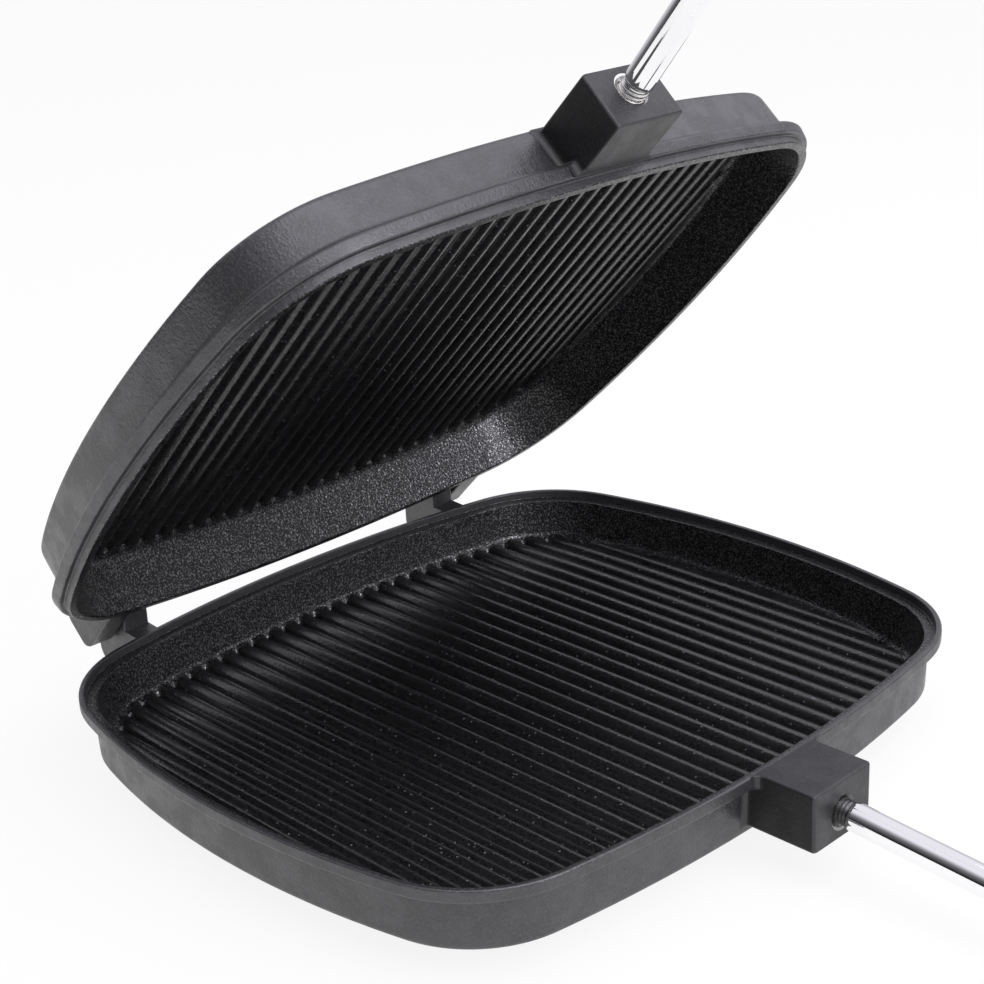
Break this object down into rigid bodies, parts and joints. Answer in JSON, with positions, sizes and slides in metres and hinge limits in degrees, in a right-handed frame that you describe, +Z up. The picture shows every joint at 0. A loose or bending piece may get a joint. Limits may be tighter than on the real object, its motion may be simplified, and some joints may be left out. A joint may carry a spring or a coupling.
{
  "type": "pie iron",
  "caption": "Hinged cast pie iron: grooved square trays that nest at the rim, on long steel rods with wooden grips and a swinging latch hook.",
  "frame": {"origin": "middle of the lower tray's flat outer bottom", "axes": "+X from the hinge to the handles, +Y along the hinge, +Z up"},
  "size_m": [0.7166, 0.232, 0.5464],
  "materials": {
    "cast_iron": "satin black seasoned casting, fine orange-peel grain inside",
    "chrome_rod": "bright chrome plate",
    "plated_steel": "zinc-plated steel",
    "pin_steel": "plain dark steel",
    "grip_wood": "turned and oiled hardwood"
  },
  "bodies": {
    "lower": {"lower_iron": "cast_iron", "lower_rod": "chrome_rod", "lower_ferrule": "plated_steel", "lower_grip": "grip_wood", "lower_end_washer": "plated_steel", "lower_cap_nut": "plated_steel", "latch_catch_screw": "plated_steel", "near_hinge_pin": "pin_steel", "far_hinge_pin": "pin_steel"},
    "upper": {"upper_iron": "cast_iron", "upper_rod": "chrome_rod", "upper_ferrule": "plated_steel", "upper_grip": "grip_wood", "upper_end_washer": "plated_steel", "upper_cap_nut": "plated_steel", "latch_pivot_screw": "plated_steel", "latch_washer": "plated_steel"},
    "latch": {"latch_hook": "plated_steel"}
  },
  "joints": [
    {"name": "lid_hinge", "type": "hinge", "parent": "lower", "child": "upper", "pos_m": [-0.10595, 0, 0.0283], "axis": [0, -1, 0], "range_deg": [-45.5, 134.5]},
    {"name": "latch_swing", "type": "hinge", "parent": "upper", "child": "latch", "pos_m": [0.31352, 0, 0.46565], "axis": [0, -1, 0], "range_deg": [-60, 45.5]}
  ]
}
